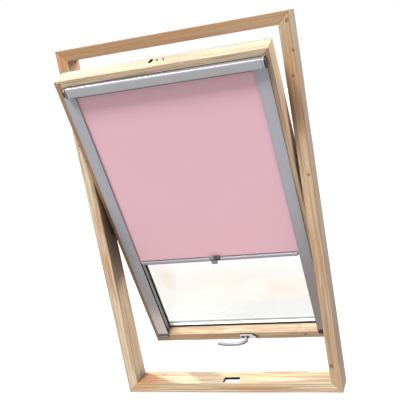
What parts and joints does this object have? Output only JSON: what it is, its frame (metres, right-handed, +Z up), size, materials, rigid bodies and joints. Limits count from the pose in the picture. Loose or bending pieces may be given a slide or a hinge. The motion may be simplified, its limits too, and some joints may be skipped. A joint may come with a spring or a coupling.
{
  "type": "roof window with roller blind",
  "caption": "Centre-pivot pine roof window, held half open, with a bottom handle and latch and a cassette roller blind that runs in side guides over its glass.",
  "frame": {"origin": "middle of the underside of the frame's sill, half way through its depth", "axes": "+X to the right as seen from the room, +Y from the room to the outside, +Z up along the frame's jambs"},
  "size_m": [0.74, 0.4106, 1.18],
  "materials": {
    "pine": "satin clear lacquer on knotty pine",
    "glass": "clear, polished",
    "black_rubber": "matte",
    "white_tape": "matte",
    "cover_grey": "grey coating",
    "silver_anodised": "satin anodised",
    "zinc": "zinc plated",
    "handle_silver": "satin silver coating on a cast metal",
    "grey_plastic": "matte",
    "light_plastic": "matte",
    "white_plastic": "matte",
    "pink_fabric": "plain weave, light blocking"
  },
  "bodies": {
    "frame": {"frame_head": "pine", "frame_sill": "pine", "frame_jamb_left": "pine", "frame_jamb_right": "pine", "keep": "zinc", "keep_screw_left": "zinc", "keep_screw_right": "zinc", "frame_hinge_plate_left": "zinc", "frame_hinge_plate_right": "zinc", "pivot_pin_left": "zinc", "pivot_pin_right": "zinc", "frame_hinge_screw_left_lower": "zinc", "frame_hinge_screw_left_upper": "zinc", "frame_hinge_screw_right_lower": "zinc", "frame_hinge_screw_right_upper": "zinc"},
    "sash": {"sash_top_rail": "pine", "sash_bottom_rail": "pine", "sash_stile_left": "pine", "sash_stile_right": "pine", "inner_pane": "glass", "outer_pane": "glass", "glass_spacer": "black_rubber", "glazing_gasket": "black_rubber", "glazing_tape": "white_tape", "cover_top": "cover_grey", "cover_bottom": "cover_grey", "cover_left": "cover_grey", "cover_right": "cover_grey", "sash_hinge_plate_left": "zinc", "sash_hinge_plate_right": "zinc", "sash_hinge_screw_left_lower": "zinc", "sash_hinge_screw_left_upper": "zinc", "sash_hinge_screw_right_lower": "zinc", "sash_hinge_screw_right_upper": "zinc", "handle_rose": "handle_silver", "cassette_housing": "silver_anodised", "cassette_cap_left": "grey_plastic", "cassette_cap_right": "silver_anodised", "cassette_catch": "white_plastic", "guide_left": "silver_anodised", "guide_right": "silver_anodised", "guide_end_cap_left": "grey_plastic", "guide_end_cap_right": "grey_plastic"},
    "handle": {"handle_lever": "handle_silver", "latch_cam": "zinc"},
    "blind_bar": {"bottom_bar": "silver_anodised", "bar_glide_left": "light_plastic", "bar_glide_right": "light_plastic", "bar_grip": "grey_plastic", "blind_fabric": "pink_fabric"},
    "roller": {"roller_tube": "silver_anodised", "fabric_roll": "pink_fabric", "roller_plug": "grey_plastic", "spring_barrel": "grey_plastic"}
  },
  "joints": [
    {"name": "sash_pivot", "type": "hinge", "parent": "frame", "child": "sash", "pos_m": [0, 0.0136, 0.5956], "axis": [1, 0, 0], "range_deg": [-18.42, 131.58]},
    {"name": "handle_turn", "type": "hinge", "parent": "sash", "child": "handle", "pos_m": [0.0165, 0.16621, 0.10572], "axis": [0, 0.9488, 0.316], "range_deg": [0, 90]},
    {"name": "blind_slide", "type": "slide", "parent": "sash", "child": "blind_bar", "axis": [0, -0.316, 0.9488], "range_m": [-0.318, 0.625], "deforming": ["blind_fabric"]},
    {"name": "roller_spin", "type": "hinge", "parent": "sash", "child": "roller", "pos_m": [0, -0.15828, 1.05851], "axis": [1, 0, 0], "continuous": true}
  ],
  "couplings": [
    {"joint": "roller_spin", "follows": "blind_slide", "rad_per_m": 102.04}
  ]
}
